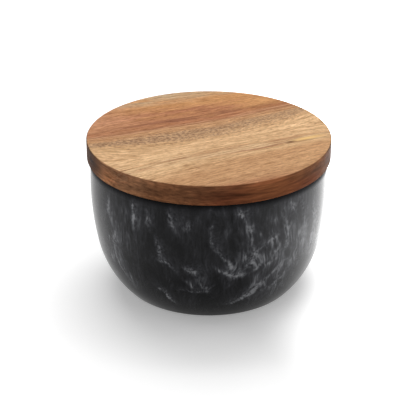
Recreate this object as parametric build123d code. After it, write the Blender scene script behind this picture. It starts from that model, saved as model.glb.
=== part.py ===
from build123d import *
import math
import os

# Salt cellar: a round bowl of marbled cast resin under a flat wooden lid.
# The lid turns aside on an upright pin hidden in the rear of the rim, a pair of
# magnets at the front holds it shut, and it lifts straight off for washing.
# Millimetres, +Z up. The origin is the middle of the foot, on the table.
# The front of the rim is -Y and the pin stands at the rear, +Y.

# Overall size
overall_height = 68.0
lid_diameter = 105.0

# Lid, a flat turned disc
lid_thickness = 8.6
lid_edge_round = 0.5

# Bowl, outside
lid_gap = 0.4            # from the rim up to the lid's underside
rim_inset = 1.7          # from the lid's edge in to the rim's edge
belly_bulge = 0.6        # how far the widest circle stands out from the rim
belly_drop = 12.3        # from the rim down to the widest circle
shoulder_height = 22.0   # where the side turns into the round lower part
foot_inset = 13.6        # from the widest circle in to the foot's edge
foot_round = 1.2
rim_outer_round = 0.8

# Bowl, inside
rim_width = 9.6
floor_thickness = 8.0
inside_turn_height = 34.0   # where the straight inner wall starts to round in
inside_floor_inset = 9.0    # from the inner wall in to where its curve meets the floor
inside_floor_round = 12.0
rim_inner_round = 1.2

# Foot pad, let into the underside
pad_thickness = 2.0
pad_proud = 0.5          # how far the pad stands below the foot
foot_land = 8.0          # width of the foot's ring around the pad
pad_clearance = 0.3
pad_edge_cut = 0.3

# Pin and the sleeve it turns in
pin_diameter = 4.0
pin_in_lid = 6.0
pin_end_clearance = 1.5
pin_end_cut = 0.5
bush_wall = 0.8
bush_length = 20.0
bush_mouth_cut = 0.3
running_clearance = 0.05  # between pin and sleeve, on the radius

# Washer that the lid turns on
washer_diameter = 7.0
washer_recess = 0.6
washer_clearance = 0.25   # round the washer, in its recess
washer_bore_clearance = 0.15

# Magnets
magnet_diameter = 6.0
magnet_thickness = 3.0
magnet_edge_cut = 0.3

# Room for glue round what is glued in, on the radius
glue_gap = 0.05

# Heights and radii that follow from these
lid_radius = lid_diameter / 2
lid_underside = overall_height - lid_thickness
rim_height = lid_underside - lid_gap
rim_radius = lid_radius - rim_inset
inner_radius = rim_radius - rim_width
belly_radius = rim_radius + belly_bulge
belly_height = rim_height - belly_drop
side_arc_radius = (belly_drop**2 + belly_bulge**2) / (2 * belly_bulge)
side_arc_centre = belly_radius - side_arc_radius
shoulder_radius = side_arc_centre + math.sqrt(
    side_arc_radius**2 - (belly_height - shoulder_height) ** 2
)
foot_height = pad_proud
foot_radius = belly_radius - foot_inset
floor_height = foot_height + floor_thickness
inside_floor_radius = inner_radius - inside_floor_inset
pad_recess_radius = foot_radius - foot_land

# Pin and magnets stand on one circle, along the middle of the rim
rim_middle = rim_radius - rim_width / 2
pin_place = (0, rim_middle)
magnet_place = (0, -rim_middle)
pin_radius = pin_diameter / 2
bush_bore_radius = pin_radius + running_clearance
bush_radius = bush_bore_radius + bush_wall
bush_top = rim_height - washer_recess
bush_bottom = bush_top - bush_length
washer_radius = washer_diameter / 2
magnet_radius = magnet_diameter / 2


def post(radius, bottom, top, place=(0, 0)):
    """A round solid that stands upright between two heights."""
    body = Cylinder(radius, top - bottom, align=(Align.CENTER, Align.CENTER, Align.MIN))
    return Pos(place[0], place[1], bottom) * body


def corner(outline, radius, height):
    """The outline's corner nearest to a point given as radius and height."""
    point = Vector(radius, height, 0)
    return min(outline.vertices(), key=lambda v: (Vector(v) - point).length)


def rounded(outline, radius, height, size):
    """The outline with one of its corners rounded."""
    return fillet(corner(outline, radius, height), size)


def bowl_outline():
    """Half the bowl's section, with X as radius and Y as height."""
    side = ThreePointArc(
        (rim_radius, rim_height),
        (belly_radius, belly_height),
        (shoulder_radius, shoulder_height),
    )
    lower = TangentArc(side @ 1, (foot_radius, foot_height), tangent=side % 1)
    wall = Line((inner_radius, rim_height), (inner_radius, inside_turn_height))
    hollow = TangentArc(wall @ 1, (inside_floor_radius, floor_height), tangent=wall % 1)
    outline = make_face(
        [
            side,
            lower,
            Line(lower @ 1, (0, foot_height)),
            Line((0, foot_height), (0, floor_height)),
            Line((0, floor_height), hollow @ 1),
            hollow,
            wall,
            Line(wall @ 0, side @ 0),
        ]
    )
    outline = rounded(outline, inside_floor_radius, floor_height, inside_floor_round)
    outline = rounded(outline, inner_radius, rim_height, rim_inner_round)
    outline = rounded(outline, rim_radius, rim_height, rim_outer_round)
    return rounded(outline, foot_radius, foot_height, foot_round)


def bowl():
    """The cast bowl, with its pockets for sleeve, washer, magnet and pad."""
    body = revolve(Plane.XZ * bowl_outline(), Axis.Z, 360)
    body -= post(bush_radius + glue_gap, bush_bottom, rim_height, pin_place)
    body -= post(washer_radius + washer_clearance, bush_top, rim_height, pin_place)
    magnet_bottom = lid_underside - magnet_thickness
    body -= post(magnet_radius + glue_gap, magnet_bottom, rim_height, magnet_place)
    return body - post(pad_recess_radius, foot_height, pad_thickness)


def lid():
    """The wooden disc, drilled from below for the pin and its magnet."""
    disc = post(lid_radius, lid_underside, overall_height)
    disc = fillet(disc.edges().filter_by(GeomType.CIRCLE), lid_edge_round)
    disc -= post(pin_radius + glue_gap, lid_underside, lid_underside + pin_in_lid, pin_place)
    magnet_top = lid_underside + magnet_thickness
    return disc - post(magnet_radius + glue_gap, lid_underside, magnet_top, magnet_place)


def pivot_pin():
    """The steel pin, glued in the lid and free in the sleeve."""
    pin = post(pin_radius, bush_bottom + pin_end_clearance, lid_underside + pin_in_lid, pin_place)
    return chamfer(pin.edges().filter_by(GeomType.CIRCLE), pin_end_cut)


def pivot_bush():
    """The nylon sleeve in the rim, with an eased mouth for the pin."""
    sleeve = post(bush_radius, bush_bottom, bush_top, pin_place)
    sleeve -= post(bush_bore_radius, bush_bottom, bush_top, pin_place)
    mouth = sleeve.faces().sort_by(Axis.Z)[-1].inner_wires()[0].edges()
    return chamfer(mouth, bush_mouth_cut)


def pivot_washer():
    """The thin nylon washer in the rim, which carries the rear of the lid."""
    washer = post(washer_radius, bush_top, lid_underside, pin_place)
    return washer - post(pin_radius + washer_bore_clearance, bush_top, lid_underside, pin_place)


def magnet(bottom):
    """A plated disc magnet that stands on a given height."""
    disc = post(magnet_radius, bottom, bottom + magnet_thickness, magnet_place)
    return chamfer(disc.edges().filter_by(GeomType.CIRCLE), magnet_edge_cut)


def foot_pad():
    """The round non-slip pad that the bowl stands on."""
    pad = post(pad_recess_radius - pad_clearance, 0, pad_thickness)
    return chamfer(pad.edges().filter_by(GeomType.CIRCLE), pad_edge_cut)


pieces = {
    "bowl": bowl(),
    "foot_pad": foot_pad(),
    "pivot_bush": pivot_bush(),
    "pivot_washer": pivot_washer(),
    "bowl_magnet": magnet(lid_underside - magnet_thickness),
    "lid": lid(),
    "pivot_pin": pivot_pin(),
    "lid_magnet": magnet(lid_underside),
}

os.makedirs("parts", exist_ok=True)
for name, shape in pieces.items():
    shape.label = name
    export_step(shape, f"parts/{name}.step")
    print(name, "volume", round(shape.volume, 1), "mm3")

print("pin axis at", pin_place, "rim at", rim_height, "lid underside at", lid_underside)
print("inner radius", inner_radius, "side arc radius", round(side_arc_radius, 2))
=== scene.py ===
# %% [markdown]
# # A salt cellar of marbled resin and acacia
#
# The object is small and plain: a black cast-resin bowl with smoky grey marbling, and a flat
# acacia lid that turns aside on a pin hidden in the rim. Two big surfaces carry the whole look,
# so almost all of this file is about their form and their finish. The frame gives the exact
# pieces in metres, and everything new is built around them in the same place. Sizes here are in
# millimetres, and MM turns them to metres where Blender needs them.

# %% Load the frame
import bmesh
import bpy
import math
import numpy as np
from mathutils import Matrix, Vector


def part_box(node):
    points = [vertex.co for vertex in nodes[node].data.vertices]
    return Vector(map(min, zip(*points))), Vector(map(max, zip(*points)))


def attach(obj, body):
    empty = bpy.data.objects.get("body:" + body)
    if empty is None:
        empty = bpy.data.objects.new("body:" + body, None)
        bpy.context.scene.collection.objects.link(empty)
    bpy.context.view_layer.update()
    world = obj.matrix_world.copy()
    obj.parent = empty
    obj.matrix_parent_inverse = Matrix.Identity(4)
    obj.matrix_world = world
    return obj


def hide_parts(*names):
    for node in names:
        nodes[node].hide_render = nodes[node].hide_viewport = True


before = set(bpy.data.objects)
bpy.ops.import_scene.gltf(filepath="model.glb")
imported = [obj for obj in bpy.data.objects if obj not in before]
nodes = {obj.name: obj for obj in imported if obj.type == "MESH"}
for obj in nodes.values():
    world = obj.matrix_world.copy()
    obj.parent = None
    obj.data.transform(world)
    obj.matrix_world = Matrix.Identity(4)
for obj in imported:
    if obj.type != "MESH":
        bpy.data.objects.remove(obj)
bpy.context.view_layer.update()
MM = 0.001


def size_of(node):
    """The lowest and highest corner of a CAD node, in millimetres."""
    low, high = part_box(node)
    return np.array(low) / MM, np.array(high) / MM


for node in nodes:
    print(node, size_of(node)[0].round(2), size_of(node)[1].round(2))

# %% [markdown]
# ## The camera
#
# The camera looks down on the lid at about 26 degrees from 0.6 metres away. A camera could be
# placed by eye, but the lid is a true circle of known size, so its height and distance were
# worked out from how the circle is foreshortened. A long lens keeps the sides nearly upright.

# %% Camera
FRAME_PIXELS = 416
SENSOR_WIDTH = 36.0
focal_pixels = 1364.0
elevation = math.radians(25.87)
distance = 600 * MM
aim_height = 33.1 * MM
aim_side = -0.4 * MM

camera_data = bpy.data.cameras.new("camera")
camera_data.sensor_width = SENSOR_WIDTH
camera_data.lens = SENSOR_WIDTH * focal_pixels / FRAME_PIXELS
camera = bpy.data.objects.new("camera", camera_data)
bpy.context.scene.collection.objects.link(camera)
back, up = distance * math.cos(elevation), distance * math.sin(elevation)
camera.location = (aim_side, -back, aim_height + up)
camera.rotation_euler = (math.radians(90) - elevation, 0, 0)
bpy.context.scene.camera = camera
bpy.context.scene.view_settings.view_transform = "Standard"
print("lens", round(camera_data.lens, 1), "mm at", distance, "m")


# %% [markdown]
# ## Outlines for turned pieces
#
# Both main pieces are round, so each could be a sphere or a cylinder pushed into shape. A turner
# works the other way: one outline, carried round an axis, gives the true form and an even grid
# of points. An outline is a chain of straight runs and arcs, with its corners rounded.

# %% Runs of points
def line(start, end, step):
    """Points from start to end, evenly spaced at about one step."""
    start, end = np.array(start, float), np.array(end, float)
    count = max(2, round(np.linalg.norm(end - start) / step) + 1)
    return start + np.linspace(0, 1, count)[:, None] * (end - start)


def arc(centre, start, end, step):
    """Points at one distance from a centre, swept the short way round from start to end."""
    arm = np.subtract(start, centre)
    last = np.subtract(end, centre)
    first_angle = math.atan2(arm[1], arm[0])
    sweep = (math.atan2(last[1], last[0]) - first_angle + math.pi) % math.tau - math.pi
    radius = np.linalg.norm(arm)
    count = max(2, round(abs(sweep) * radius / step) + 1)
    angles = first_angle + np.linspace(0, sweep, count)
    return np.array(centre) + radius * np.stack([np.cos(angles), np.sin(angles)], axis=1)


def tangent_centre(start, inward, end):
    """The centre of the arc that leaves start square to inward and ends at end.
    Its radius is the chord's square over twice the chord's length along inward."""
    inward = np.array(inward) / np.linalg.norm(inward)
    chord = np.subtract(end, start)
    return start + inward * (chord @ chord) / (2 * chord @ inward)


def travel_along(run):
    """How far along a run each of its points lies."""
    steps = np.linalg.norm(np.diff(run, axis=0), axis=1)
    return np.concatenate([[0], np.cumsum(steps)])


# %% Join runs with rounded corners
BRIDGE_STEPS = 9


def shortened(run, length):
    """A run of points with a given length cut off its start."""
    travel = travel_along(run)
    first = [np.interp(length, travel, run[:, k]) for k in (0, 1)]
    return np.vstack([first, run[travel > length + 1e-6]])


def joined(runs, radii):
    """One outline from runs that meet end to end, each joint rounded by its radius.
    Both sides are cut back by radius x tan(half the turn) and bridged by a weighted parabola.
    With cos(half the turn) as its middle weight, that is a true circle between straight sides."""
    outline = runs[0]
    for run, radius in zip(runs[1:], radii):
        if radius == 0:
            outline = np.vstack([outline, run[1:]])
            continue
        corner = run[0]
        before = outline[-1] - outline[-2]
        after = run[1] - run[0]
        cosine = before @ after / np.linalg.norm(before) / np.linalg.norm(after)
        half_turn = math.acos(np.clip(cosine, -1, 1)) / 2
        cut = radius * math.tan(half_turn)
        outline = shortened(outline[::-1], cut)[::-1]
        run = shortened(run, cut)
        t = np.linspace(0, 1, BRIDGE_STEPS + 1)[1:-1, None]
        weights = (1 - t) ** 2, 2 * math.cos(half_turn) * t * (1 - t), t**2
        bridge = weights[0] * outline[-1] + weights[1] * corner + weights[2] * run[0]
        outline = np.vstack([outline, bridge / sum(weights), run])
    return outline


# %% Turn an outline round an axis
def turned(name, outline, sectors, middle=(0, 0)):
    """A closed surface turned about an upright axis. Outline point (r, z) at angle a goes to
    (r cos a, r sin a, z). A point on the axis is one vertex, so the poles are closed."""
    on_axis = outline[:, 0] < 1e-9
    angles = np.arange(sectors) * math.tau / sectors
    ring = np.stack([np.cos(angles), np.sin(angles), np.ones(sectors)], axis=1)
    rows = outline[:, None, [0, 0, 1]] * ring + [*middle, 0]
    kept = ~on_axis[:, None] | (np.arange(sectors) == 0)
    index = (np.cumsum(kept.ravel()) - 1).reshape(kept.shape)
    index[on_axis] = index[on_axis, :1]
    across = np.roll(index, -1, axis=1)
    faces = np.stack([index[:-1], across[:-1], across[1:], index[1:]], axis=2)
    quads = faces[~on_axis[:-1] & ~on_axis[1:]].reshape(-1, 4)
    opening = faces[on_axis[:-1]][..., [0, 2, 3]].reshape(-1, 3)
    closing = faces[on_axis[1:]][..., [0, 1, 2]].reshape(-1, 3)
    mesh = bpy.data.meshes.new(name)
    mesh.from_pydata(rows[kept] * MM, [], quads.tolist() + opening.tolist() + closing.tolist())
    piece = bpy.data.objects.new(name, mesh)
    bpy.context.scene.collection.objects.link(piece)
    return piece


# %% Cut pockets and finish a mesh
# Points nearer to each other than the weld, in millimetres, become one.
POCKET_SECTORS = 72
WELD = 0.002
SHARP_ANGLE = math.radians(35)


def post(radius, bottom, top, middle):
    """A round closed solid to cut a pocket with."""
    outline = np.array([(0, bottom), (radius, bottom), (radius, top), (0, top)], float)
    return turned("cutter", outline, POCKET_SECTORS, middle)


def cut_out(piece, cutters):
    """Take closed shapes out of a piece, weld the points that the cut left on top of each other,
    and shade the result smooth."""
    for cutter in cutters:
        pocket = piece.modifiers.new("pocket", "BOOLEAN")
        pocket.object = cutter
        pocket.solver = "EXACT"
    graph = bpy.context.evaluated_depsgraph_get()
    mesh = bpy.data.meshes.new_from_object(piece.evaluated_get(graph))
    welded = bmesh.new()
    welded.from_mesh(mesh)
    bmesh.ops.remove_doubles(welded, verts=welded.verts, dist=WELD * MM)
    welded.to_mesh(mesh)
    welded.free()
    piece.modifiers.clear()
    piece.data = mesh
    for cutter in cutters:
        bpy.data.objects.remove(cutter)
    mesh.shade_smooth()
    mesh.set_sharp_from_angle(angle=SHARP_ANGLE)
    print(piece.name, len(mesh.vertices), "points", len(mesh.polygons), "faces")


# %% [markdown]
# ## The bowl
#
# The bowl is cast in one piece in a polished mould. Its side is a very long arc, widest a little
# below the rim, and the lower part is one round arc that runs into a flat foot. The outline is
# the same chain that the solid was made from, so the surface lies where the solid lies, but with
# an even grid of small faces, which can carry the marbling from point to point.

# %% Bowl sizes
bowl_low, bowl_high = size_of("bowl")
recess_top = size_of("foot_pad")[1][2]
belly_radius = bowl_high[0]
rim_height = bowl_high[2]
foot_height = bowl_low[2]

# The frame's boxes don't give these sizes, so they are written as the solid has them.
belly_bulge = 0.6
belly_drop = 12.3
shoulder_height = 22.0
foot_inset = 13.6
foot_round = 1.2
foot_land = 8.0
rim_outer_round = 0.8
rim_inner_round = 1.2
rim_width = 9.6
inside_turn_height = 34.0
inside_floor_inset = 9.0
inside_floor_round = 12.0
floor_thickness = 8.0

rim_radius = belly_radius - belly_bulge
inner_radius = rim_radius - rim_width
foot_radius = belly_radius - foot_inset
recess_radius = foot_radius - foot_land
belly_height = rim_height - belly_drop
floor_height = foot_height + floor_thickness
inside_floor_radius = inner_radius - inside_floor_inset
side_radius = (belly_drop**2 + belly_bulge**2) / (2 * belly_bulge)
side_centre = (belly_radius - side_radius, belly_height)
shoulder_drop = belly_height - shoulder_height
shoulder = np.array([side_centre[0] + math.sqrt(side_radius**2 - shoulder_drop**2), shoulder_height])
print("rim radius", rim_radius, "inner radius", inner_radius, "foot radius", foot_radius)

# %% Bowl outline
WALL_STEP = 0.55
PLAIN_STEP = 2.0

foot_edge = (foot_radius, foot_height)
rim_edge = (rim_radius, rim_height)
inner_edge = (inner_radius, rim_height)
wall_turn = (inner_radius, inside_turn_height)
floor_edge = (inside_floor_radius, floor_height)
lower_centre = tangent_centre(shoulder, side_centre - shoulder, foot_edge)
hollow_centre = tangent_centre(wall_turn, (-1, 0), floor_edge)

lower_side = arc(lower_centre, foot_edge, shoulder, WALL_STEP)
upper_side = arc(side_centre, shoulder, rim_edge, WALL_STEP)
outside = np.vstack([lower_side, upper_side[1:]])
inner_wall = line(inner_edge, wall_turn, PLAIN_STEP)
hollow = arc(hollow_centre, wall_turn, floor_edge, PLAIN_STEP)
inner_side = np.vstack([inner_wall, hollow[1:]])
floor_line = line(floor_edge, (0, floor_height), PLAIN_STEP)

bowl_outline = joined(
    [
        line((0, recess_top), (recess_radius, recess_top), PLAIN_STEP),
        line((recess_radius, recess_top), (recess_radius, foot_height), PLAIN_STEP),
        line((recess_radius, foot_height), foot_edge, PLAIN_STEP),
        outside,
        line(rim_edge, inner_edge, PLAIN_STEP),
        inner_side,
        floor_line,
    ],
    [0, 0, foot_round, rim_outer_round, rim_inner_round, inside_floor_round],
)
print(len(bowl_outline), "points in the bowl's outline")

# %% Bowl surface, with its pockets in the rim
BOWL_SECTORS = 464
GLUE_GAP = 0.05
WASHER_GAP = 0.25
ABOVE = 5.0


def pocket_round(node, gap, top):
    """A cutter for the pocket that holds a round node, wider by a gap, open up to a height."""
    low, high = size_of(node)
    middle = (low[:2] + high[:2]) / 2
    return post((high[0] - low[0]) / 2 + gap, low[2], top, middle)


bowl = turned("bowl_casting", bowl_outline, BOWL_SECTORS)
rim_pockets = [
    pocket_round("pivot_bush", GLUE_GAP, rim_height + ABOVE),
    pocket_round("pivot_washer", WASHER_GAP, rim_height + ABOVE),
    pocket_round("bowl_magnet", GLUE_GAP, rim_height + ABOVE),
]
cut_out(bowl, rim_pockets)
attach(bowl, "bowl")
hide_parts("bowl")

# %% [markdown]
# ## The lid
#
# The lid is a disc turned from one flat board. It could stay a plain cylinder, but light catches
# the half-millimetre round that sandpaper leaves on its edge, and rings of points across the
# flat faces let it carry the direction of the grain. The pin and the magnet are glued into holes
# in its underside, and the holes are cut where the frame has these two pieces.

# %% Lid surface
LID_STEP = 1.3
LID_SECTORS = 360
lid_low, lid_high = size_of("lid")
lid_radius = lid_high[0]
lid_edge_round = 0.5
underside, top_side = lid_low[2], lid_high[2]

lid_outline = joined(
    [
        line((0, underside), (lid_radius, underside), LID_STEP),
        line((lid_radius, underside), (lid_radius, top_side), LID_STEP),
        line((lid_radius, top_side), (0, top_side), LID_STEP),
    ],
    [lid_edge_round, lid_edge_round],
)
lid = turned("lid_disc", lid_outline, LID_SECTORS)
print(len(lid_outline), "points in the lid's outline")

# %% Holes in the lid
pin_low, pin_high = size_of("pivot_pin")
magnet_low, magnet_high = size_of("lid_magnet")
pin_middle = (pin_low[:2] + pin_high[:2]) / 2
magnet_middle = (magnet_low[:2] + magnet_high[:2]) / 2
pin_radius = (pin_high[0] - pin_low[0]) / 2
magnet_radius = (magnet_high[0] - magnet_low[0]) / 2
pin_hole = post(pin_radius + GLUE_GAP, underside - ABOVE, pin_high[2], pin_middle)
magnet_hole = post(magnet_radius + GLUE_GAP, underside - ABOVE, magnet_high[2], magnet_middle)
cut_out(lid, [pin_hole, magnet_hole])
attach(lid, "lid")
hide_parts("lid")


# %% [markdown]
# ## Values that follow the surface
#
# Grain and marbling have a direction and a place that plain noise doesn't know. They could be
# painted on an image, but a value kept at every point of the mesh stays sharp at any distance
# and needs no unwrapping. A sum of slow sine waves is the smooth, repeatable noise used here.

# %% Read points, store values, make slow noise
def points_of(piece, field="co"):
    """All points of a mesh in millimetres, or their normals, as an array."""
    values = np.empty(len(piece.data.vertices) * 3)
    piece.data.vertices.foreach_get(field, values)
    return values.reshape(-1, 3) / (MM if field == "co" else 1)


def store(piece, name, values):
    """Keep one number or one vector per point under a name that a material can read."""
    kind, slot = ("FLOAT", "value") if values.ndim == 1 else ("FLOAT_VECTOR", "vector")
    attribute = piece.data.attributes.new(name, kind, "POINT")
    attribute.data.foreach_set(slot, values.astype(np.float32).ravel())


def waves(points, length, seed, count=9):
    """Smooth noise of about one wavelength: the mean of sine waves in random directions."""
    random = np.random.default_rng(seed)
    directions = random.normal(size=(count, 3))
    directions /= np.linalg.norm(directions, axis=1)[:, None]
    lengths = length * random.uniform(0.6, 1.6, count)
    phases = points @ (directions * math.tau / lengths[:, None]).T + random.uniform(0, math.tau, count)
    return np.sin(phases).mean(axis=1) * math.sqrt(2 * count) / 2


# %% [markdown]
# ## Colours and nodes
#
# Colours are written as sRGB hex values, and one function turns them to the linear values that
# a shader works in. One small function adds any node, with its settings by name and its inputs
# as values or links.

# %% Colours
def colour(hex_value):
    """An sRGB hex colour as linear RGBA: each channel goes through the sRGB curve."""
    channels = np.array([int(hex_value[i : i + 2], 16) / 255 for i in (1, 3, 5)])
    linear = np.where(channels <= 0.04045, channels / 12.92, ((channels + 0.055) / 1.055) ** 2.4)
    return (*linear.tolist(), 1.0)


print("mid grey, #808080, is", round(colour("#808080")[0], 3), "in linear light")


# %% Nodes and materials
def add(tree, kind, inputs=None, **settings):
    """Add a node. Inputs are keyed by name or number, and each is a value, a socket to link, or a
    node whose one output in use is linked."""
    node = tree.nodes.new("ShaderNode" + kind)
    for name, value in settings.items():
        setattr(node, name, value)
    for key, value in (inputs or {}).items():
        if isinstance(value, bpy.types.Node):
            value = next(socket for socket in value.outputs if socket.enabled)
        if isinstance(value, bpy.types.NodeSocket):
            tree.links.new(value, node.inputs[key])
        else:
            node.inputs[key].default_value = value
    return node


def new_material(name):
    """An empty node material and its tree."""
    material = bpy.data.materials.new(name)
    material.use_nodes = True
    material.node_tree.nodes.clear()
    return material, material.node_tree


def dress(piece, material):
    """Put one material in every slot of a piece."""
    if not piece.material_slots:
        piece.data.materials.append(material)
    for slot in piece.material_slots:
        slot.material = material
    print(piece.name, "wears", material.name, "of", len(material.node_tree.nodes), "nodes")


# %% [markdown]
# ## The studio
#
# A dark glossy bowl shows its surroundings more than its own colour. Seen from above, its wall
# reflects the floor, so the floor does the work of a reflector. It is broad white paper that stays
# dim close to the bowl and glows more farther out, with two bright patches to the right and
# behind, and it runs out to plain white, so that its edge doesn't show. The large lamp stands
# behind and above, which keeps the front of the bowl dark enough to show the marbling. Two low
# panels light the flanks.

# %% What counts as seen
def seen_rays(tree):
    """One for rays from the eye, from gloss and through glass, and nought for light itself."""
    path = add(tree, "LightPath")
    by_eye = path.outputs["Is Camera Ray"]
    by_gloss = path.outputs["Is Glossy Ray"]
    by_glass = path.outputs["Is Transmission Ray"]
    seen = add(tree, "Math", {0: by_eye, 1: by_gloss}, operation="MAXIMUM")
    return add(tree, "Math", {0: seen, 1: by_glass}, operation="MAXIMUM")


# %% Floor sheet
FLOOR_HALF_WIDTH = 4.0


def floor_sheet(half_width):
    """A flat square on z = 0, with its half width in metres."""
    mesh = bpy.data.meshes.new("floor")
    corners = [(-half_width, -half_width, 0), (half_width, -half_width, 0)]
    corners += [(half_width, half_width, 0), (-half_width, half_width, 0)]
    mesh.from_pydata(corners, [], [(0, 1, 2, 3)])
    sheet = bpy.data.objects.new("floor", mesh)
    bpy.context.scene.collection.objects.link(sheet)
    return sheet


floor = floor_sheet(FLOOR_HALF_WIDTH)
print("floor is", 2 * FLOOR_HALF_WIDTH, "m across")

# %% White paper, dim near the bowl
# Paper from a roll, laid flat: white and matt. Its glow is painted light: weaker near the bowl,
# as a painted shadow round it, and stronger farther out.
paper, tree = new_material("white_paper")
seen = seen_rays(tree)
place = add(tree, "TexCoord").outputs["Object"]
reach = add(tree, "VectorMath", {0: place}, operation="LENGTH")
near_glow, far_glow, added_glow = 0.28, 0.52, 0.6
near_range = {"From Min": 42 * MM, "From Max": 85 * MM, "To Min": near_glow, "To Max": far_glow}
glow = add(tree, "MapRange", {"Value": reach, **near_range})
far_range = {"From Min": 300 * MM, "From Max": 450 * MM, "To Max": added_glow}
far_white = add(tree, "MapRange", {"Value": reach, **far_range})
glow = add(tree, "Math", {0: glow, 1: far_white}, operation="ADD")
print("paper glows at", near_glow, "near the bowl,", far_glow, "past it")

# %% Bright patches on the paper
# Each patch is its angle and half its spread in degrees, and its strength. The wide one lights
# the bowl's right flank, and the narrow one, farther behind, the very edge.
bright_patches = ((12, 84, 1.8), (52, 40, 1.1))
for angle, spread, strength in bright_patches:
    way = (math.cos(math.radians(angle)), math.sin(math.radians(angle)), 0)
    towards = add(tree, "VectorMath", {0: place, 1: way}, operation="DOT_PRODUCT")
    towards = add(tree, "Math", {0: towards, 1: reach}, operation="DIVIDE")
    narrow = {"Value": towards, "From Min": math.cos(math.radians(spread)), "To Max": strength}
    patch = add(tree, "MapRange", narrow, interpolation_type="SMOOTHSTEP")
    past_bowl = {"Value": reach, "From Min": 34 * MM, "From Max": 85 * MM}
    soft_start = add(tree, "MapRange", past_bowl, interpolation_type="SMOOTHSTEP")
    patch = add(tree, "Math", {0: patch, 1: soft_start}, operation="MULTIPLY")
    glow = add(tree, "Math", {0: glow, 1: patch}, operation="ADD")
glow = add(tree, "Math", {0: glow, 1: seen}, operation="MULTIPLY")

# The paper is a little darker to light itself than to the eye, so it throws less back up.
tone = add(tree, "Mix", {0: seen, 6: colour("#c4c4c4"), 7: colour("#f0f0f0")}, data_type="RGBA")
diffuse = add(tree, "BsdfDiffuse", {"Color": tone.outputs[2]})
shine = add(tree, "Emission", {"Color": colour("#ffffff"), "Strength": glow})
both = add(tree, "AddShader", {0: diffuse, 1: shine})
add(tree, "OutputMaterial", {"Surface": both})
dress(floor, paper)

# %% World
# The tent of white cloth round the set: full white to the eye and in reflections, and a weak
# fill as a light.
world = bpy.data.worlds.new("tent")
world.use_nodes = True
bpy.context.scene.world = world
tree = world.node_tree
tree.nodes.clear()
fill_strength, white_strength = 0.30, 1.0
strength_range = {"To Min": fill_strength, "To Max": white_strength}
strength = add(tree, "MapRange", {"Value": seen_rays(tree), **strength_range})
sky = add(tree, "Background", {"Color": colour("#ffffff"), "Strength": strength})
add(tree, "OutputWorld", {"Surface": sky})
print("tent fills at", fill_strength, "and shows at", white_strength)


# %% Lamps
def soft_light(name, place, size, power):
    """A flat area lamp at a place in metres, turned to shine on the middle of the object."""
    lamp = bpy.data.lights.new(name, "AREA")
    lamp.shape = "RECTANGLE"
    lamp.size, lamp.size_y = size
    lamp.energy = power
    holder = bpy.data.objects.new(name, lamp)
    bpy.context.scene.collection.objects.link(holder)
    holder.location = place
    aim = Vector((0, 0, aim_height)) - Vector(place)
    holder.rotation_euler = aim.to_track_quat("-Z", "Y").to_euler()
    print(name, power, "W over", size, "m")


soft_light("rear_overhead", (0, 0.4, 0.65), (0.8, 0.5), 4.2)
soft_light("right_panel", (0.65, 0.15, 0.3), (0.3, 0.5), 0.35)
soft_light("left_panel", (-0.65, 0.1, 0.3), (0.3, 0.5), 0.4)

# %% [markdown]
# ## Grain coordinates for the lid
#
# A board is cut from a trunk, so its stripes are slices of long, gently bent layers. A flat
# pattern on the top would break at the edge. Here every point knows how far it lies along the
# grain, across it and up through it, so top, edge and underside all show the same wood.

# %% Direction of the grain
GRAIN_ANGLE = math.radians(25)
HALF_BOARD = 50.0


def bend(grain, level, reach, tilt, bow):
    """A lift of the grain lines near one level. At half a board along, the lift is tilt + bow:
    (tilt x share + bow x share squared) times a bell curve across the grain."""
    share = grain[:, 0] / HALF_BOARD
    across = (grain[:, 1] - level) / reach
    return (tilt * share + bow * share**2) * np.exp(-(across**2))


place = points_of(lid) - [0, 0, top_side]
along_grain = np.array([math.cos(GRAIN_ANGLE), math.sin(GRAIN_ANGLE)])
across_grain = np.array([-along_grain[1], along_grain[0]])
grain = np.stack([place[:, :2] @ along_grain, place[:, :2] @ across_grain, place[:, 2]], axis=1)

# The lines bend in five places, and waver slowly everywhere, by 0.7 mm over 26 mm and more.
WAVER, WAVER_LENGTH = 0.7, 26
lift = bend(grain, level=45, reach=12, tilt=-6, bow=0)
lift += bend(grain, level=21, reach=8, tilt=-1.5, bow=-0.5)
lift += bend(grain, level=4, reach=11, tilt=-0.6, bow=8.2)
lift += bend(grain, level=-18, reach=10, tilt=-2.5, bow=-2)
lift += bend(grain, level=-31, reach=16, tilt=4, bow=0)
lift += WAVER * waves(grain * [0.35, 1, 1], WAVER_LENGTH, seed=4)
grain[:, 1] -= lift
store(lid, "grain", grain)
print("grain runs across from", grain[:, 1].min().round(1), "to", grain[:, 1].max().round(1), "mm")

# %% [markdown]
# ## Oiled acacia
#
# Acacia has cream sapwood and rust-brown heartwood in broad, uneven stripes, with short dark
# pores and patches of mottle where the fibres interlock. A picture of wood would do for one
# view only, so it is built up the way it grows: broad stripes first, then fibres drawn out
# along the grain, then flecks, and last the oil. To the eye the oil deepens the colour and leaves
# hardly any shine. The cut edge, which soaks up more of it, turns darker than the top, and is
# darkened further, with lighter and darker places round it, as painted light and shade.

# %% Acacia tones
cream, honey, sand, clay = "#e8bd8b", "#dcb07f", "#d3a272", "#cc9b6d"
tan, rust, dark_rust, ash = "#c18d66", "#b87c55", "#9f6849", "#cba277"
apricot, drift, pale, rose = "#cf965f", "#cbae88", "#f0cc9c", "#cc936c"

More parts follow.
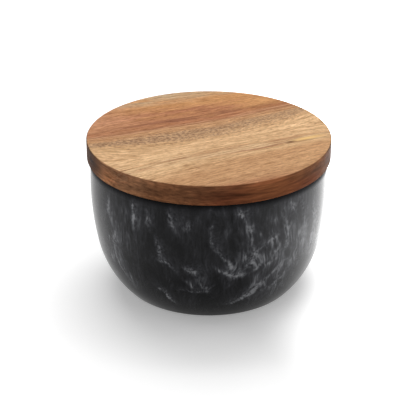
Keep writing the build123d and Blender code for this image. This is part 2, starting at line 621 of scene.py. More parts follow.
# Each stripe is its level across the grain in millimetres, from the front right of the lid to
# its rear left, and the tone it has there.
STRIPE_SPAN = 56.0
stripes = [
    (-54, rust),
    (-47, clay),
    (-41, sand),
    (-35, sand),
    (-29, sand),
    (-25, honey),
    (-22.4, cream),
    (-21.4, tan),
    (-20.4, pale),
    (-19.2, clay),
    (-18.2, pale),
    (-17.2, sand),
    (-16.2, cream),
    (-6, cream),
    (-2, honey),
    (1, ash),
    (6, ash),
    (9, sand),
    (12, clay),
    (15, tan),
    (17, rust),
    (19.2, rust),
    (20.2, dark_rust),
    (21.4, dark_rust),
    (23, rust),
    (31, rust),
    (37, apricot),
    (42, clay),
    (45, drift),
    (54, drift),
]

# %% Patterns drawn out along the grain
def noise(tree, place, lengths, detail, low, high):
    """Noise with its own length in millimetres along, across and up. It mostly stays within 0.3
    to 0.7, and that range is moved to low and high."""
    scale = [1 / length for length in lengths]
    drawn = add(tree, "VectorMath", {0: place, 1: scale}, operation="MULTIPLY")
    source = add(tree, "TexNoise", {"Vector": drawn, "Scale": 1, "Detail": detail})
    limits = {"From Min": 0.3, "From Max": 0.7, "To Min": low, "To Max": high}
    return add(tree, "MapRange", {"Value": source, **limits}, clamp=False)


def near(tree, value, middle, reach):
    """One where a value is at the middle, falling smoothly to nought at the reach."""
    gap = add(tree, "Math", {0: value, 1: middle}, operation="SUBTRACT")
    gap = add(tree, "Math", {0: gap}, operation="ABSOLUTE")
    limits = {"From Min": 0, "From Max": reach, "To Min": 1, "To Max": 0}
    return add(tree, "MapRange", {"Value": gap, **limits}, interpolation_type="SMOOTHSTEP")


def tinted(tree, figured, share, tint):
    """A colour multiplied by a tint, where the share says how much of the tint counts."""
    full = add(tree, "VectorMath", {0: figured, 1: tint}, operation="MULTIPLY")
    return add(tree, "Mix", {0: share, 6: figured, 7: full}, data_type="RGBA")


# %% Acacia stripes
def set_stops(ramp, stops):
    """Set a colour ramp from a list of places and hex colours."""
    elements = ramp.color_ramp.elements
    while len(elements) < len(stops):
        elements.new(1.0)
    for element, (place, hex_value) in zip(elements, stops):
        element.position = place
        element.color = colour(hex_value)


wood, tree = new_material("oiled_acacia")
grain_place = add(tree, "Attribute", attribute_name="grain").outputs["Vector"]
along, across, depth = add(tree, "SeparateXYZ", {0: grain_place}).outputs

# The layers lean, so a stripe moves across by this share of the depth below the top.
LAYER_SLOPE = 0.8
level = add(tree, "Math", {0: depth, 1: LAYER_SLOPE, 2: across}, operation="MULTIPLY_ADD")
drifting = noise(tree, grain_place, (60, 12, 9), 2, -2, 2)
ragged = noise(tree, grain_place, (26, 2.6, 2.6), 4, -1.3, 1.3)
level = add(tree, "Math", {0: level, 1: drifting}, operation="ADD")
level = add(tree, "Math", {0: level, 1: ragged}, operation="ADD")
share = add(tree, "MapRange", {"Value": level, "From Min": -STRIPE_SPAN, "From Max": STRIPE_SPAN})
figured = add(tree, "ValToRGB", {0: share})
set_stops(figured, [((at + STRIPE_SPAN) / (2 * STRIPE_SPAN), tone) for at, tone in stripes])
print(len(stripes), "stops in the ramp across the grain, which holds 32 at most")

# %% Orange, rose and pale ends
# The heartwood turns orange in patches and towards its right end, and rosy towards its left.
# The sapwood pales towards the left.
HEART_BORDER, HEART_FULL = 14, 26
outer = add(tree, "MapRange", {"Value": along, "From Min": 8, "From Max": 34, "To Max": 0.6})
patchy = noise(tree, grain_place, (26, 7, 7), 3, -0.5, 0.9)
orange = add(tree, "Math", {0: outer, 1: patchy}, operation="ADD", use_clamp=True)
heart = add(tree, "MapRange", {"Value": level, "From Min": HEART_BORDER, "From Max": HEART_FULL})
orange = add(tree, "Math", {0: orange, 1: heart}, operation="MULTIPLY")
figured = add(tree, "Mix", {0: orange, 6: figured, 7: colour(apricot)}, data_type="RGBA")
rose_side = add(tree, "MapRange", {"Value": along, "From Min": -12, "From Max": -34, "To Max": 0.75})
rose_side = add(tree, "Math", {0: rose_side, 1: heart}, operation="MULTIPLY")
figured = add(tree, "Mix", {0: rose_side, 6: figured, 7: colour(rose)}, data_type="RGBA")

SAPWOOD_LEVEL, SAPWOOD_REACH = -26, 11
pale_side = add(tree, "MapRange", {"Value": along, "From Min": 2, "From Max": -34, "To Max": 0.85})
sapwood = near(tree, level, SAPWOOD_LEVEL, SAPWOOD_REACH)
sapwood = add(tree, "Math", {0: sapwood, 1: pale_side}, operation="MULTIPLY")
figured = add(tree, "Mix", {0: sapwood, 6: figured, 7: colour(cream)}, data_type="RGBA")
print(len(tree.nodes), "nodes after the stripes and their ends")

# %% Fibres
# Fibres are finer than a pixel, and are drawn 0.6 mm wide to show. Ribbons are the growth lines,
# 2 mm wide, and the slow patches are where the saw met the grain at another angle.
banded = figured
fibre = noise(tree, grain_place, (6, 0.6, 0.6), 3, -1.25, 1.25)
ribbon = noise(tree, grain_place, (75, 1.9, 1.9), 3, -0.6, 0.6)
slow = noise(tree, grain_place, (30, 12, 12), 2, -0.3, 0.3)
fibrous = add(tree, "Math", {0: fibre, 1: ribbon}, operation="ADD")
fibrous = add(tree, "Math", {0: fibrous, 1: slow}, operation="ADD")

# The colour is multiplied by middle + fibrous x depth, where blue swings the most, so dark fibres
# are also warmer.
TONE_DEPTH = (0.24, 0.29, 0.36)
TONE_MIDDLE = (1.03, 1.04, 1.08)
swing = {0: fibrous, 1: TONE_DEPTH, 2: TONE_MIDDLE}
fibre_tone = add(tree, "VectorMath", swing, operation="MULTIPLY_ADD")
figured = add(tree, "VectorMath", {0: figured, 1: fibre_tone}, operation="MULTIPLY")
print(len(tree.nodes), "nodes with fibres")

# %% Dark and pale lines
# A line runs wherever a wave drawn out along the grain crosses nought. The lines are strongest
# at the heartwood's border and in the sapwood.
SAPWOOD_LINES = -19
LINE_REACH = 0.3
dark_wave = noise(tree, grain_place, (75, 2.0, 2.0), 2, -1, 1)
pale_wave = noise(tree, grain_place, (60, 1.8, 1.8), 2, -1.4, 0.6)
heart_lines = near(tree, level, HEART_BORDER, 12)
sap_lines = near(tree, level, SAPWOOD_LINES, 8)
lined = add(tree, "Math", {0: heart_lines, 1: sap_lines}, operation="ADD")
lined = add(tree, "MapRange", {"Value": lined, "To Min": 0.25, "To Max": 1})
dark_line = near(tree, dark_wave, 0, LINE_REACH)
dark_line = add(tree, "Math", {0: dark_line, 1: lined}, operation="MULTIPLY")
pale_line = near(tree, pale_wave, 0, LINE_REACH)
pale_line = add(tree, "Math", {0: pale_line, 1: sap_lines}, operation="MULTIPLY")
figured = tinted(tree, figured, dark_line, (0.68, 0.56, 0.5))
figured = add(tree, "Mix", {0: pale_line, 6: figured, 7: colour(pale)}, data_type="RGBA")
print(len(tree.nodes), "nodes with lines")

# %% Pores
# Pores of acacia are 0.2 mm wide and a few millimetres long, and are drawn 0.9 mm wide to show.
PORE_STRENGTH = 0.55
pore = noise(tree, grain_place, (3.5, 0.9, 0.9), 1, -2.0, 1.0)
pore = add(tree, "Math", {0: pore, 1: PORE_STRENGTH}, operation="MULTIPLY", use_clamp=True)
figured = tinted(tree, figured, pore, (0.6, 0.5, 0.46))
print(len(tree.nodes), "nodes with pores")

# %% Speckled band
# Short flecks fill the ash-brown band across the middle, and are faint elsewhere.
ASH_LEVEL, ASH_REACH = 3.5, 9
fleck = noise(tree, grain_place, (1.4, 0.8, 0.8), 2, -1.5, 2.7)
mottled = near(tree, level, ASH_LEVEL, ASH_REACH)
fade_range = {"From Min": -30, "From Max": 26, "To Min": 1, "To Max": 0.45}
fading = add(tree, "MapRange", {"Value": along, **fade_range})
mottled = add(tree, "Math", {0: mottled, 1: fading}, operation="MULTIPLY")
mottle_share = add(tree, "MapRange", {"Value": mottled, "To Min": 0.14, "To Max": 0.85})
fleck = add(tree, "Math", {0: fleck, 1: mottle_share}, operation="MULTIPLY", use_clamp=True)
figured = tinted(tree, figured, fleck, (0.54, 0.5, 0.52))
print(len(tree.nodes), "nodes with flecks")


# %% A soft spot
def spot(tree, place, middle, angle, half_sizes):
    """One at a middle, falling to nought at an ellipse. The distance from the middle is turned
    back by the angle and divided by the half sizes, all given in millimetres."""
    where = {"Location": [MM * value for value in middle], "Rotation": (0, 0, angle)}
    where["Scale"] = [MM * value for value in half_sizes]
    local = add(tree, "Mapping", {"Vector": place, **where}, vector_type="TEXTURE")
    return near(tree, add(tree, "VectorMath", {0: local}, operation="LENGTH"), 0, 1)


# %% A knot with a bright streak
# The grain swings past a small knot at the right of the lid, bright on one side of it and dark
# on the other.
object_place = add(tree, "TexCoord").outputs["Object"]
KNOT_ANGLE = math.radians(26)
bright = spot(tree, object_place, (42, -3.4, top_side), KNOT_ANGLE, (13, 2.1, 3))
beneath = spot(tree, object_place, (40, -6.2, top_side), KNOT_ANGLE, (9, 1.2, 3))
knot = spot(tree, object_place, (34.6, -7.7, top_side), KNOT_ANGLE, (4, 1.6, 3))
figured = add(tree, "Mix", {0: bright, 6: figured, 7: colour("#fbd08a")}, data_type="RGBA")
figured = tinted(tree, figured, beneath, (0.7, 0.62, 0.55))
figured = tinted(tree, figured, knot, (0.3, 0.25, 0.25))
print(len(tree.nodes), "nodes with the knot")

# %% The turned edge
def from_axis(tree, place):
    """The distance from the upright axis in metres: the length of a place with its height left out."""
    flat_place = add(tree, "VectorMath", {0: place, 1: (1, 1, 0)}, operation="MULTIPLY")
    return add(tree, "VectorMath", {0: flat_place}, operation="LENGTH")


# The oil soaks in from the edge as far as the rounded corner. The edge is also darkened as painted
# shade, since a side gets less light than the top.
radius = from_axis(tree, object_place)
edge_range = {"From Min": (lid_radius - 0.45) * MM, "From Max": (lid_radius - 0.1) * MM}
on_edge = add(tree, "MapRange", {"Value": radius, **edge_range})
edge_streak = noise(tree, grain_place, (34, 10, 1.8), 3, 0.65, 1.35)
fine_streak = noise(tree, grain_place, (8, 2.2, 0.8), 5, 0.65, 1.35)
edge_tone = add(tree, "Math", {0: edge_streak, 1: fine_streak}, operation="MULTIPLY")

# A darker layer runs round halfway down the edge, and comes and goes.
DARK_LAYER, LAYER_REACH = -4.8, 3.2
layer_share = noise(tree, grain_place, (30, 14, 5), 2, 0.03, 0.38)
layer = near(tree, depth, DARK_LAYER, LAYER_REACH)
layer = add(tree, "Math", {0: layer, 1: layer_share}, operation="MULTIPLY")
layer = add(tree, "Math", {0: 1, 1: layer}, operation="SUBTRACT")
edge_tone = add(tree, "Math", {0: edge_tone, 1: layer}, operation="MULTIPLY")
soaked_and_shaded = add(tree, "VectorMath", {0: banded, "Scale": edge_tone}, operation="SCALE")
# Painted shade together with oil: this tint darkens the whole edge below the tone of the top.
OIL_AND_SHADE_TINT = (0.56, 0.42, 0.41)
soaked_and_shaded = add(tree, "VectorMath", {0: soaked_and_shaded, 1: OIL_AND_SHADE_TINT}, operation="MULTIPLY")
print(len(tree.nodes), "nodes with a soaked edge")

# %% Painted light, painted shade and end grain on the edge
# Painted light brightens the edge on both sides of the front, and a dark patch lies at the far left.
EDGE_MIDDLE = (underside + top_side) / 2
painted_light_left = spot(tree, object_place, (-41, -32, EDGE_MIDDLE - 1), math.radians(-38), (9, 8, 6))
painted_light_right = spot(tree, object_place, (26, -46, EDGE_MIDDLE + 1), math.radians(29), (24, 9, 10))
# Painted light: the edge is lit up at the front left and the front right.
soaked_and_shaded = tinted(tree, soaked_and_shaded, painted_light_left, (1.6, 1.45, 1.3))
soaked_and_shaded = tinted(tree, soaked_and_shaded, painted_light_right, (1.8, 2.0, 1.8))

dark_left = spot(tree, object_place, (-49, -20, EDGE_MIDDLE), math.radians(-68), (13, 7, 11))
soaked_and_shaded = tinted(tree, soaked_and_shaded, dark_left, (0.4, 0.38, 0.4))

# Both flanks of the edge go nearly black: partly end grain, which drinks the oil, and partly
# painted shade on the flanks.
END_AND_FLANK_ANGLE = math.radians(2)
end_and_flank_axis = (math.cos(END_AND_FLANK_ANGLE), math.sin(END_AND_FLANK_ANGLE), 0)
facing = add(tree, "VectorMath", {0: object_place, 1: end_and_flank_axis}, operation="DOT_PRODUCT")
facing = add(tree, "Math", {0: facing}, operation="ABSOLUTE")
end_and_flank_range = {"From Min": 0.84 * lid_radius * MM, "From Max": 0.98 * lid_radius * MM}
end_grain_and_shade = add(tree, "MapRange", {"Value": facing, **end_and_flank_range}, interpolation_type="SMOOTHSTEP")
# Painted shade with end grain: the flanks darken to about a quarter.
soaked_and_shaded = tinted(tree, soaked_and_shaded, end_grain_and_shade, (0.26, 0.24, 0.24))
figured = add(tree, "Mix", {0: on_edge, 6: figured, 7: soaked_and_shaded}, data_type="RGBA")
print(len(tree.nodes), "nodes with end grain")

# %% Oil on the wood
# Fine sanding leaves the fibres 0.05 mm proud at most. Oil sinks in and forms no film, so the
# roughness is high and the gloss is far below the 0.5 of a varnish.
FIBRE_HEIGHT = 0.05 * MM
relief = add(tree, "Bump", {"Height": fibre, "Distance": FIBRE_HEIGHT, "Strength": 0.5})
finish = {"Base Color": figured, "Roughness": 0.6, "Specular IOR Level": 0.05, "Normal": relief}
shade = add(tree, "BsdfPrincipled", finish)
add(tree, "OutputMaterial", {"Surface": shade})
dress(lid, wood)

# %% [markdown]
# ## Marbling the resin
#
# A little pale resin is stirred into the black before the pour. It drags down the mould wall in
# streaks and curls where it gathers lower down. Noise alone gives even clouds, so the veils at
# the front are placed one by one, as azimuth from the front and height, and the rest are drawn by
# the same brush along seeded random paths. A veil has one crisp side and one smoky side.

# %% Paths on the wall
outside_travel = travel_along(outside)


def on_wall(run, travel, azimuth, along):
    """Points on a turned wall, from azimuths in degrees and distances along its outline:
    (r sin azimuth, -r cos azimuth, z), with r and z read from the outline."""
    radius = np.interp(along, travel, run[:, 0])
    height = np.interp(along, travel, run[:, 1])
    turn = np.radians(azimuth)
    return np.stack([radius * np.sin(turn), -radius * np.cos(turn), height], axis=-1)


# Widths in the list below are of broad strokes, and the finished veils are narrower and denser.
BRUSH_WIDTH, BRUSH_STRENGTH = 0.65, 1.25
veils = []


def veil(places, width, strength):
    """A veil through places given as (azimuth, height) on the outside."""
    azimuth, height = np.array(places, float).T
    along = np.interp(height, outside[:, 1], outside_travel)
    path = on_wall(outside, outside_travel, azimuth, along)
    veils.append((path, BRUSH_WIDTH * width, BRUSH_STRENGTH * strength))


print("outside is", outside_travel[-1].round(1), "mm along from foot to rim")

# %% Veils at the front, top left to lower right
veil([(-55, 53), (-55, 47), (-53, 42)], 1.8, 0.35)
veil([(-48, 44), (-50, 38), (-52, 32), (-52, 27), (-50, 21), (-46, 17), (-42, 11)], 1.1, 0.45)
veil([(-38, 57), (-37, 50), (-37, 43)], 1.3, 0.75)
veil([(-30, 56), (-29, 50), (-29, 45)], 1.2, 0.45)
veil([(-25, 43), (-24, 38), (-23, 31)], 1.2, 0.42)
veil([(-25, 32), (-21, 31), (-17, 29), (-15, 25)], 0.9, 0.42)
veil([(-28, 17), (-24, 14), (-18, 9)], 1.0, 0.95)
veil([(-18, 58), (-18, 53), (-17, 49), (-15, 45)], 1.8, 0.5)
veil([(-11, 50), (-8, 48)], 2.5, 0.35)
veil([(-11, 30), (-8, 28), (-6, 26)], 1.6, 0.55)
veil([(-12, 24), (-9, 21), (-8, 20)], 1.3, 0.45)
veil([(-7, 25), (-4, 22), (0, 18)], 1.2, 0.6)
veil([(-16, 18), (-7, 17.5), (-1, 18), (3, 21)], 0.7, 0.5)
veil([(-2, 56), (2, 57), (5, 54)], 1.0, 0.3)
veil([(3, 54), (1, 48), (1, 43), (4, 38), (8, 34), (10, 31)], 1.2, 0.36)
veil([(2, 31), (6, 28), (11, 26), (18, 25)], 1.3, 0.6)
veil([(8, 33), (10, 30), (13, 29)], 1.6, 0.45)
veil([(12, 58), (14, 55), (16, 51)], 1.7, 0.65)
veil([(17, 49), (18, 47), (20, 45)], 1.5, 0.6)
veil([(16, 29), (20, 31), (22, 34), (21, 37)], 1.8, 0.55)
veil([(19, 26), (24, 28), (27, 33)], 1.0, 0.45)
veil([(19, 34), (24, 37), (29, 40), (36, 43)], 1.1, 0.42)
veil([(9, 10), (17, 11.5), (22, 15), (26, 19)], 1.3, 0.7)
veil([(35, 39), (33, 34), (31, 30), (26, 26)], 1.2, 0.32)
veil([(46, 33), (42, 30), (36, 26), (30, 22), (24, 18), (18, 14)], 1.5, 0.36)
veil([(43, 24), (38, 19), (34, 16), (28, 11)], 1.2, 0.28)
veil([(36, 54), (39, 42), (38, 31)], 1.8, 0.4)
veil([(41, 56), (42, 53), (43, 50)], 1.8, 0.6)
veil([(48, 55), (51, 42), (50, 29)], 2.2, 0.45)
veil([(58, 52), (60, 38), (58, 28)], 2.5, 0.4)
print(len(veils), "veils by hand")

# %% Clouds at the front
# Between the clouds a little pale resin is left everywhere.
FAINT_CLOUD = 0.065
clouds = []


def cloud(azimuth, height, reach, strength):
    """A soft cloud of pale resin round one place on the outside."""
    along = np.interp(height, outside[:, 1], outside_travel)
    clouds.append((on_wall(outside, outside_travel, azimuth, along), reach, strength))


cloud(-55, 36, 12, 0.18)
cloud(-50, 20, 9, 0.13)
cloud(-42, 50, 9, 0.09)
cloud(3, 28, 7, 0.05)
cloud(14, 50, 9, 0.1)
cloud(26, 37, 12, 0.18)
cloud(36, 34, 24, 0.09)
cloud(30, 18, 8, 0.12)
cloud(37, 24, 10, 0.18)
cloud(46, 40, 13, 0.12)
cloud(62, 30, 13, 0.12)
print(len(clouds), "clouds by hand")

# %% A random path down a wall
# Turns are in radians a step. Below this share of the wall's length a path curls. Added to the
# radius, the slack keeps a path near the axis from whirling round it.
random = np.random.default_rng(11)
STREAK_TURN, CURL_TURN = 0.25, 0.9
CURL_TRAVEL = 0.5
AXIS_SLACK = 5


def wander(run, travel, azimuth, along, steps=5):
    """A path down a wall: each step keeps its heading but for a small random turn, which is
    larger in the lower half, where the pour gathers and curls."""
    heading = random.normal(0, STREAK_TURN)
    stride = random.uniform(1.5, 3.5)
    path = []
    for _ in range(steps):
        path.append((azimuth, along))
        radius = np.interp(along, travel, run[:, 0]) + AXIS_SLACK
        azimuth += math.degrees(math.sin(heading) * stride / radius)
        along = along - math.cos(heading) * stride
        share = along / travel[-1]
        heading += random.normal(0, CURL_TURN if share < CURL_TRAVEL else STREAK_TURN)
    azimuths, alongs = np.array(path).T
    return on_wall(run, travel, azimuths, alongs)


def free_veil(run, travel, azimuth, along):
    """A veil on a random path, with a random width and strength."""
    path = wander(run, travel, azimuth, along)
    veils.append((path, random.uniform(*FREE_WIDTH), random.uniform(*FREE_STRENGTH)))


def free_cloud(place, reaches, strengths):
    """A cloud at a place, with its reach and strength drawn from two ranges."""
    clouds.append((place, random.uniform(*reaches), random.uniform(*strengths)))


# %% Veils and clouds at the sides and back
# Azimuths run in degrees from the front to the right, so these begin past the last listed veil
# and go round the back. Clouds are broad, and keep a margin.
FREE_WIDTH, FREE_STRENGTH = (0.45, 1.3), (0.15, 0.52)
FIRST_FREE, LAST_FREE = 68, 296
CLOUD_MARGIN = 8
BACK_VEILS, BACK_CLOUDS = 120, 26

for _ in range(BACK_VEILS):
    azimuth = random.uniform(FIRST_FREE, LAST_FREE)
    along = random.uniform(0.08, 0.98) * outside_travel[-1]
    free_veil(outside, outside_travel, azimuth, along)
for _ in range(BACK_CLOUDS):
    azimuth = random.uniform(FIRST_FREE + CLOUD_MARGIN, LAST_FREE - CLOUD_MARGIN)
    along = random.uniform(0.1, 0.95) * outside_travel[-1]
    free_cloud(on_wall(outside, outside_travel, azimuth, along), (8, 14), (0.04, 0.15))
print(len(veils), "veils and", len(clouds), "clouds on the outside")

# %% Veils and clouds inside and on the rim
# The inside is one run from the middle of the floor up to the rim. The square root spreads the
# marks evenly over the round floor, and doesn't crowd its middle.
INSIDE_VEILS, INSIDE_CLOUDS, RIM_CLOUDS = 130, 24, 20
from_floor = np.vstack([inner_side, floor_line[1:]])[::-1]
floor_travel = travel_along(from_floor)

for _ in range(INSIDE_VEILS):
    azimuth = random.uniform(0, 360)
    along = math.sqrt(random.uniform(0, 1)) * floor_travel[-1]
    free_veil(from_floor, floor_travel, azimuth, along)
for _ in range(INSIDE_CLOUDS):
    azimuth = random.uniform(0, 360)
    along = math.sqrt(random.uniform(0, 1)) * floor_travel[-1]
    free_cloud(on_wall(from_floor, floor_travel, azimuth, along), (4, 8), (0.08, 0.25))

rim_middle = (inner_radius + rim_radius) / 2
for _ in range(RIM_CLOUDS):
    turn = random.uniform(0, math.tau)
    place = np.array([rim_middle * math.cos(turn), rim_middle * math.sin(turn), rim_height])
    free_cloud(place, (2.5, 5.5), (0.15, 0.45))
print(len(veils), "veils and", len(clouds), "clouds in all")

# %% The brush
# How many times wider a veil is on its smoky side, and how much of its strength spreads there.
SMOKY_SIDE = 4.5
SMOKY_DEPTH = 0.4
END_SHARE = 0.08


def brushed(points, normals, path, width, strength):
    """How strongly one veil marks each point, for the nearest piece of its path: a bell curve of
    the distance, exp(-(distance / width) squared). On the smoky side a share of the curve is
    wider. Towards both ends of the path the mark fades to a quarter, as half a sine wave."""
    nearest = np.full(len(points), 1e9)
    marked = np.zeros(len(points))
    share_step = 1 / (len(path) - 1)
    for number, (start, end) in enumerate(zip(path[:-1], path[1:])):
        way = end - start
        offset = points - start
        share = np.clip(offset @ way / (way @ way), 0, 1)
        gap = offset - share[:, None] * way
        length = np.linalg.norm(gap, axis=1)
        side = np.einsum("ij,ij->i", np.cross(way, gap), normals)
        reach = width * np.where(side > 0, SMOKY_SIDE, 1)
        depth = np.where(side > 0, SMOKY_DEPTH, 1)
        along = (number + share) * share_step
        mark = np.exp(-((length / reach) ** 2)) * depth + np.exp(-((length / width) ** 2)) * (1 - depth)
        mark *= np.sin(math.pi * (END_SHARE + (1 - 2 * END_SHARE) * along))
        closer = length < nearest
        nearest = np.where(closer, length, nearest)
        marked = np.where(closer, mark, marked)
    return strength * marked


# %% Brush the bowl
# Points stray by about this many millimetres, which makes the edges of the veils uneven. A veil
# has faded out at 2.5 of its smoky widths, and points farther off are skipped.
WOBBLE = 0.7
FADED_OUT = 2.5

points = points_of(bowl)
normals = points_of(bowl, "normal")
strayed = points + WOBBLE * np.stack([waves(points, 7, seed) for seed in (1, 2, 3)], axis=1)
density = np.zeros(len(points))
for path, width, strength in veils:
    middle = path.mean(axis=0)
    size = np.linalg.norm(path - middle, axis=1).max() + FADED_OUT * SMOKY_SIDE * width
    close = np.linalg.norm(points - middle, axis=1) < size
    density[close] += brushed(strayed[close], normals[close], path, width, strength)
store(bowl, "veil", density)

haze = np.full(len(points), FAINT_CLOUD)
for place, reach, strength in clouds:
    haze += strength * np.exp(-((np.linalg.norm(strayed - place, axis=1) / reach) ** 2))
store(bowl, "cloud", haze)
print("veil density up to", density.max().round(2), "and haze up to", haze.max().round(2))

# %% The way the resin flowed
# The resin ran down the walls, so on them every point is moved to one radius, and a pattern there
# is a pattern of angle and height. The softness keeps the middle of the floor from tearing. Level
# faces, such as the rim, are only scaled evenly, because they show the marbling cut across.
POUR_RADIUS = 50.0
MIDDLE_SOFTNESS = 10.0
round_reach = np.sqrt((points[:, :2] ** 2).sum(axis=1) + MIDDLE_SOFTNESS**2)
drawn_in = POUR_RADIUS / round_reach
level_cut = POUR_RADIUS / math.hypot(rim_radius, MIDDLE_SOFTNESS)
cut_share = np.clip(normals[:, 2], 0, 1) ** 2
drawn_in += cut_share * (level_cut - drawn_in)
pour = np.column_stack([points[:, :2] * drawn_in[:, None], points[:, 2]])
store(bowl, "pour", pour)
print("flow reaches out to", np.hypot(pour[:, 0], pour[:, 1]).max().round(1), "mm")

# %% [markdown]
# ## Cast resin
#
# The bowl is a filled polyester resin, tumbled to a soft gloss. It could be plain black with
# white lines, but real veils are pale resin seen through dark resin, so their tone runs from
# near black through smoke to grey, and never reaches white. To the eye the tumbled resin is dark
# with soft, broad reflections, except on a matt band below the rim, where the veils are mostly
# taken out as painted shade under the lid.

# %% Stirring
# A push of up to half of 12 mm sideways and 20 mm up or down curls every pattern. It is fullest
# in the lower half of the bowl, and calms to a third below the rim.
resin, tree = new_material("marbled_resin")
pour_place = add(tree, "Attribute", attribute_name="pour").outputs["Vector"]
marks = add(tree, "Attribute", attribute_name="veil").outputs["Fac"]
clouded = add(tree, "Attribute", attribute_name="cloud").outputs["Fac"]
height = add(tree, "SeparateXYZ", {0: pour_place}).outputs["Z"]

STIR_LENGTH = (14, 14, 20)
STIR_REACH = (12, 12, 20)
calm = {"From Min": 28, "From Max": 50, "To Min": 1, "To Max": 0.35}
stirring = add(tree, "MapRange", {"Value": height, **calm})
stir_scale = [1 / length for length in STIR_LENGTH]
stir_place = add(tree, "VectorMath", {0: pour_place, 1: stir_scale}, operation="MULTIPLY")
swirl = add(tree, "TexNoise", {"Vector": stir_place, "Scale": 1, "Detail": 2}).outputs["Color"]
swirl = add(tree, "VectorMath", {0: swirl, 1: (0.5, 0.5, 0.5)}, operation="SUBTRACT")
swirl = add(tree, "VectorMath", {0: swirl, "Scale": stirring}, operation="SCALE")
stirred = {0: swirl, 1: STIR_REACH, 2: pour_place}
stirred = add(tree, "VectorMath", stirred, operation="MULTIPLY_ADD")
print(len(tree.nodes), "nodes for stirring")

# %% Threads, streaks and grit in the resin
# Sizes are in millimetres round the wall and down it. Threads of pale resin lie 5 mm apart, with
# streaks of 1.2 mm within them, and gather in patches of 6 to 9 mm. The real filler is finer
# than 0.1 mm, and its grit is drawn 1 mm wide to show.
thread = near(tree, noise(tree, stirred, (5, 5, 22), 4, -1, 1), 0, 0.4)
thread = add(tree, "MapRange", {"Value": thread, "To Min": 0.75, "To Max": 1.3})
streaks = noise(tree, stirred, (1.2, 1.2, 6), 6, 0, 2)
streaks = add(tree, "Math", {0: streaks, 1: 0}, operation="MAXIMUM")
patches = noise(tree, stirred, (6, 6, 9), 6, -0.1, 2)
patches = add(tree, "Math", {0: patches, 1: 0.1}, operation="MAXIMUM")
smoke = add(tree, "Math", {0: thread, 1: streaks}, operation="MULTIPLY")
smoke = add(tree, "Math", {0: smoke, 1: patches}, operation="MULTIPLY")
smoke = add(tree, "Math", {0: smoke, 1: clouded}, operation="MULTIPLY")
grit = noise(tree, stirred, (1.0, 1.0, 1.5), 6, 0.1, 1.9)
grit = add(tree, "Math", {0: grit, 1: 0}, operation="MAXIMUM")
veiled = add(tree, "Math", {0: marks, 1: grit, 2: smoke}, operation="MULTIPLY_ADD")
print(len(tree.nodes), "nodes with threads, streaks and grit")

# %% The matt band below the rim, with painted shade under the lid
# The bowl was trimmed and rubbed down below the lid after casting, so there the outside is matt.
# Its veils are mostly taken out there as well, which paints the shade of the lid's overhang into
# the colour. The rim's level face and the inside aren't part of the band.
MATT_SHADED_BAND, BAND_REACH = 58.8, 4.6
matt_shaded_band = near(tree, height, MATT_SHADED_BAND, BAND_REACH)
radius = from_axis(tree, add(tree, "TexCoord").outputs["Object"])
outer_range = {"From Min": (rim_radius - 0.9) * MM, "From Max": (rim_radius - 0.2) * MM}
on_outside = add(tree, "MapRange", {"Value": radius, **outer_range})
matt_shaded_band = add(tree, "Math", {0: matt_shaded_band, 1: on_outside}, operation="MULTIPLY")
# Painted shade: in the band under the lid the veils fade to a tenth, so the resin goes near black.
veils_kept_in_shade = add(tree, "MapRange", {"Value": matt_shaded_band, "To Min": 1, "To Max": 0.1})
veiled = add(tree, "Math", {0: veiled, 1: veils_kept_in_shade}, operation="MULTIPLY")
matt = add(tree, "MapRange", {"Value": matt_shaded_band, "To Min": 0.2, "To Max": 0.9})
print(len(tree.nodes), "nodes with the matt band")

# %% Marbled resin
# Polished polyester would mirror the white floor brightly. The tumbled skin scatters most of
# that, so the specular level is well below the usual 0.5.
tone = add(tree, "ValToRGB", {0: veiled})
set_stops(tone, [(0, "#0c0c0e"), (0.25, "#3c3c40"), (0.5, "#636468"), (1.0, "#b4b5b9")])

finish = {"Base Color": tone, "Roughness": matt, "Specular IOR Level": 0.13}
shade = add(tree, "BsdfPrincipled", finish)
add(tree, "OutputMaterial", {"Surface": shade})
dress(bowl, resin)

# %% [markdown]
# ## Steel, nylon, nickel and foam
#
# The pin, sleeve, washer, magnets and pad are bought parts, exact as they come from the frame, so
# they keep their meshes and only get materials. Each could be one flat colour, but what tells
# them apart close up is how they were made: grinding marks round the pin, turning rings on the
# nylon, the orange peel of nickel plate, and the open cells of cut foam.

# %% Ground stainless steel
# Stainless rod, ground to size between two wheels: a bright grey metal, with reflections that are
# sharp along the pin and slightly blurred by the marks that run round it.
steel, tree = new_material("ground_stainless_steel")
place = add(tree, "TexCoord").outputs["Object"]

# Grinding marks on such a pin are finer than 0.01 mm. They are drawn 0.12 mm wide to show, and
# 25 times as long round the pin.
GRIND_WIDTH = 0.12 * MM
grind_scale = (0.04 / GRIND_WIDTH, 0.04 / GRIND_WIDTH, 1 / GRIND_WIDTH)
grind_place = add(tree, "VectorMath", {0: place, 1: grind_scale}, operation="MULTIPLY")
grind = add(tree, "TexNoise", {"Vector": grind_place, "Scale": 1, "Detail": 3})
dulled = add(tree, "MapRange", {"Value": grind, "To Min": 0.18, "To Max": 0.42})
metal = add(tree, "Mix", {0: grind, 6: colour("#8f8e8c"), 7: colour("#bbbab8")}, data_type="RGBA")
relief = add(tree, "Bump", {"Height": grind, "Distance": 0.01 * MM, "Strength": 0.6})
finish = {"Base Color": metal, "Metallic": 1.0, "Roughness": dulled, "Normal": relief}
shade = add(tree, "BsdfPrincipled", finish)
add(tree, "OutputMaterial", {"Surface": shade})
dress(bpy.data.objects["pivot_pin"], steel)

# %% Natural nylon
# Nylon without pigment, turned from rod: milky, warm white, with a waxy sheen instead of a shine.
nylon, tree = new_material("natural_nylon")
place = add(tree, "TexCoord").outputs["Object"]

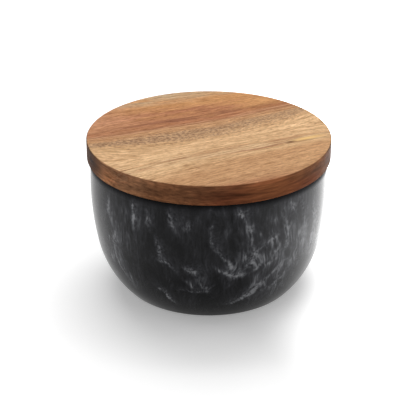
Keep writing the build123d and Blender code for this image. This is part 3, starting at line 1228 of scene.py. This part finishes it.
# Turning rings at 0.2 mm, a common feed for nylon bushes, run round the pin's axis.
RING_SPACING = 0.2 * MM
pin_axis = (pin_middle[0] * MM, pin_middle[1] * MM, 0)
from_pin = add(tree, "VectorMath", {0: place, 1: pin_axis}, operation="SUBTRACT")
ring_scale = (1 / RING_SPACING, 1 / RING_SPACING, 0)
flat_rings = add(tree, "VectorMath", {0: from_pin, 1: ring_scale}, operation="MULTIPLY")
ring = add(tree, "VectorMath", {0: flat_rings}, operation="LENGTH")
ring = add(tree, "Math", {0: ring, 1: 1.0}, operation="PINGPONG")
cloudy = add(tree, "TexNoise", {"Vector": place, "Scale": 1 / (1.5 * MM), "Detail": 3})
milky = add(tree, "Mix", {0: cloudy, 6: colour("#d8d3c2"), 7: colour("#eeebdf")}, data_type="RGBA")
waxy = add(tree, "MapRange", {"Value": cloudy, "To Min": 0.35, "To Max": 0.55})
relief = add(tree, "Bump", {"Height": ring, "Distance": 0.01 * MM, "Strength": 0.5})
finish = {"Base Color": milky, "Roughness": waxy, "IOR": 1.53, "Normal": relief}
shade = add(tree, "BsdfPrincipled", finish)
add(tree, "OutputMaterial", {"Surface": shade})
dress(bpy.data.objects["pivot_bush"], nylon)
dress(bpy.data.objects["pivot_washer"], nylon)

# %% Bright nickel plate
# Nickel plated on a pressed powder magnet: a warm grey metal that mirrors what is near, a little
# blurred.
nickel, tree = new_material("bright_nickel_plate")
place = add(tree, "TexCoord").outputs["Object"]

# Plate on a pressed and tumbled magnet has an orange peel of about 0.3 mm, and hairline rubs.
peel = add(tree, "TexNoise", {"Vector": place, "Scale": 1 / (0.3 * MM), "Detail": 2})
rub_scale = (1 / (2.5 * MM), 1 / (0.15 * MM), 1 / (0.15 * MM))
rub_place = add(tree, "VectorMath", {0: place, 1: rub_scale}, operation="MULTIPLY")
rub = add(tree, "TexNoise", {"Vector": rub_place, "Scale": 1, "Detail": 3})
rub = near(tree, rub, 0.5, 0.04)
plated = add(tree, "MapRange", {"Value": rub, "To Min": 0.34, "To Max": 0.5})
metal = add(tree, "Mix", {0: peel, 6: colour("#8a857b"), 7: colour("#aaa498")}, data_type="RGBA")
relief = add(tree, "Bump", {"Height": peel, "Distance": 0.01 * MM, "Strength": 0.5})
finish = {"Base Color": metal, "Metallic": 1.0, "Roughness": plated, "Normal": relief}
shade = add(tree, "BsdfPrincipled", finish)
add(tree, "OutputMaterial", {"Surface": shade})
dress(bpy.data.objects["bowl_magnet"], nickel)
dress(bpy.data.objects["lid_magnet"], nickel)

# %% Black foam rubber
# Foam rubber die-cut from sheet: dull black without highlights, pitted, with dust in the pits.
foam, tree = new_material("black_foam_rubber")
place = add(tree, "TexCoord").outputs["Object"]

# Cells of cut foam rubber are about 0.3 mm across, and are drawn at 0.6 mm to show.
CELL_SIZE = 0.6 * MM
cells = add(tree, "TexVoronoi", {"Vector": place, "Scale": 1 / CELL_SIZE}).outputs["Distance"]
dusty = add(tree, "TexNoise", {"Vector": place, "Scale": 1 / (8 * MM), "Detail": 4})
open_cell = add(tree, "MapRange", {"Value": cells, "From Max": 0.6})
rubber = add(tree, "Mix", {0: open_cell, 6: colour("#0c0c0e"), 7: colour("#26262a")}, data_type="RGBA")
dust = add(tree, "MapRange", {"Value": dusty, "From Min": 0.45, "From Max": 0.75, "To Max": 0.35})
rubber = add(tree, "Mix", {0: dust, 6: rubber, 7: colour("#4b4a4a")}, data_type="RGBA")
relief = add(tree, "Bump", {"Height": cells, "Distance": 0.15 * MM, "Strength": 0.8})
finish = {"Base Color": rubber, "Roughness": 0.9, "Specular IOR Level": 0.3, "Normal": relief}
shade = add(tree, "BsdfPrincipled", finish)
add(tree, "OutputMaterial", {"Surface": shade})
dress(bpy.data.objects["foot_pad"], foam)
